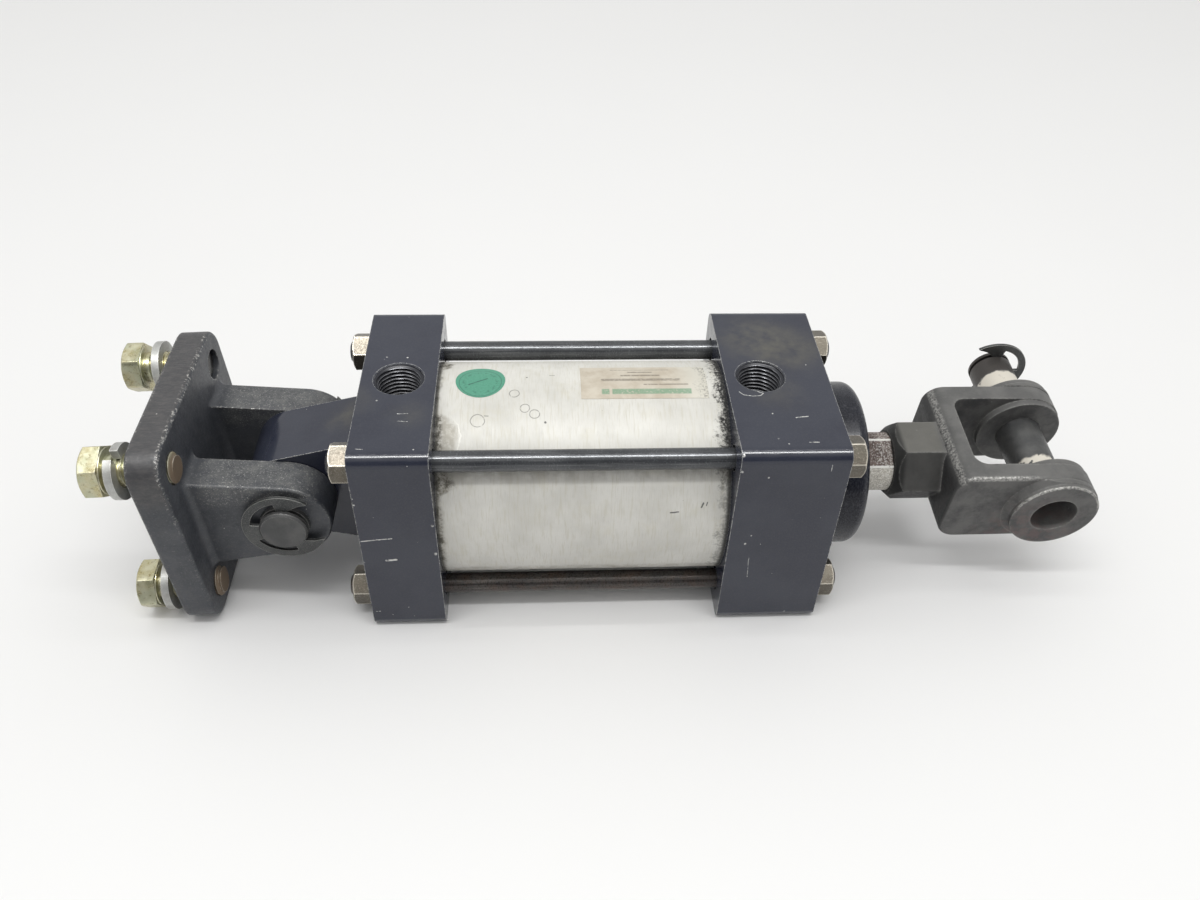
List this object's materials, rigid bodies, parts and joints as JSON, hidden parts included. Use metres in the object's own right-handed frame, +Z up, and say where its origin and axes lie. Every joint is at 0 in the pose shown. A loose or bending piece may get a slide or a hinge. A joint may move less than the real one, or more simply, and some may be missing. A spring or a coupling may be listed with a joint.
{
  "type": "pneumatic cylinder",
  "caption": "Double-acting tie-rod pneumatic cylinder with square end heads, a hinged rear clevis bracket and a forged rod clevis with its loose pin.",
  "frame": {"origin": "centre of the underside of the rear cap, on the plane that both square heads rest on", "axes": "+X along the cylinder from the rear bracket towards the rod clevis, +Y towards the back, +Z up towards the ports"},
  "size_m": [0.4081, 0.1081, 0.0953],
  "materials": {
    "blue_black_anodised": "satin blue-black anodised aluminium with worn edges",
    "brushed_tube": "circumferentially brushed aluminium with stains near the ends",
    "blackened_steel": "satin blackened steel",
    "nut_steel": "dark olive-bronze plated steel",
    "black_casting": "black painted casting with chips and rubbed edges",
    "black_forging": "black oxide forging, slightly grainy",
    "pin_steel": "dark phosphate-coated steel",
    "yellow_zinc": "yellow zinc plated",
    "grey_zinc": "dull grey zinc",
    "corroded_rod": "hard chromed rod with white and brown corrosion at the end",
    "plain_steel": "oiled plain steel",
    "piston_aluminium": "machined aluminium",
    "bearing_bronze": "machined bearing bronze",
    "seal_rubber": "black nitrile rubber",
    "wear_band_plastic": "filled PTFE band",
    "label_paper": null,
    "green_sticker": null
  },
  "bodies": {
    "barrel": {"rear_cap": "blue_black_anodised", "front_head": "blue_black_anodised", "barrel_tube": "brushed_tube", "tie_rod_front_top": "blackened_steel", "tie_rod_front_bottom": "blackened_steel", "tie_rod_back_top": "blackened_steel", "tie_rod_back_bottom": "blackened_steel", "rear_tie_rod_nuts": "nut_steel", "front_tie_rod_nuts": "nut_steel", "gland_retainer": "blackened_steel", "retainer_screws": "plain_steel", "rod_bushing": "bearing_bronze", "gland_seal_ring": "seal_rubber", "rod_seal": "seal_rubber", "rod_wiper": "seal_rubber", "rear_tube_seal": "seal_rubber", "front_tube_seal": "seal_rubber", "data_label": "label_paper", "inspection_sticker": "green_sticker"},
    "sliding_seals": {"piston_seals": "seal_rubber", "piston_wear_band": "wear_band_plastic"},
    "rod": {"piston_rod": "corroded_rod", "piston": "piston_aluminium", "piston_nut": "plain_steel", "rod_clevis": "black_forging"},
    "clevis_pin": {"clevis_pin": "pin_steel", "clevis_pin_ring": "pin_steel"},
    "bracket": {"clevis_bracket": "black_casting", "mounting_bolts": "yellow_zinc", "lock_washers": "grey_zinc"},
    "pivot_pin": {"pivot_pin": "pin_steel", "pivot_pin_rings": "pin_steel"}
  },
  "joints": [
    {"name": "rod_extend", "type": "slide", "parent": "barrel", "child": "sliding_seals", "axis": [1, 0, 0], "range_m": [0, 0.0762]},
    {"name": "rod_turn", "type": "hinge", "parent": "sliding_seals", "child": "rod", "pos_m": [0.1, 0, 0.04763], "axis": [1, 0, 0], "continuous": true},
    {"name": "clevis_pin_slide", "type": "slide", "parent": "rod", "child": "clevis_pin", "axis": [0, 0.9945, 0.1045], "range_m": [-0.0195, 0.042]},
    {"name": "bracket_swing", "type": "hinge", "parent": "barrel", "child": "bracket", "pos_m": [-0.04675, 0, 0.04763], "axis": [0, 1, 0], "range_deg": [-50, 55]},
    {"name": "pivot_pin_turn", "type": "hinge", "parent": "bracket", "child": "pivot_pin", "pos_m": [-0.04675, 0, 0.04763], "axis": [0, 1, 0], "continuous": true}
  ]
}
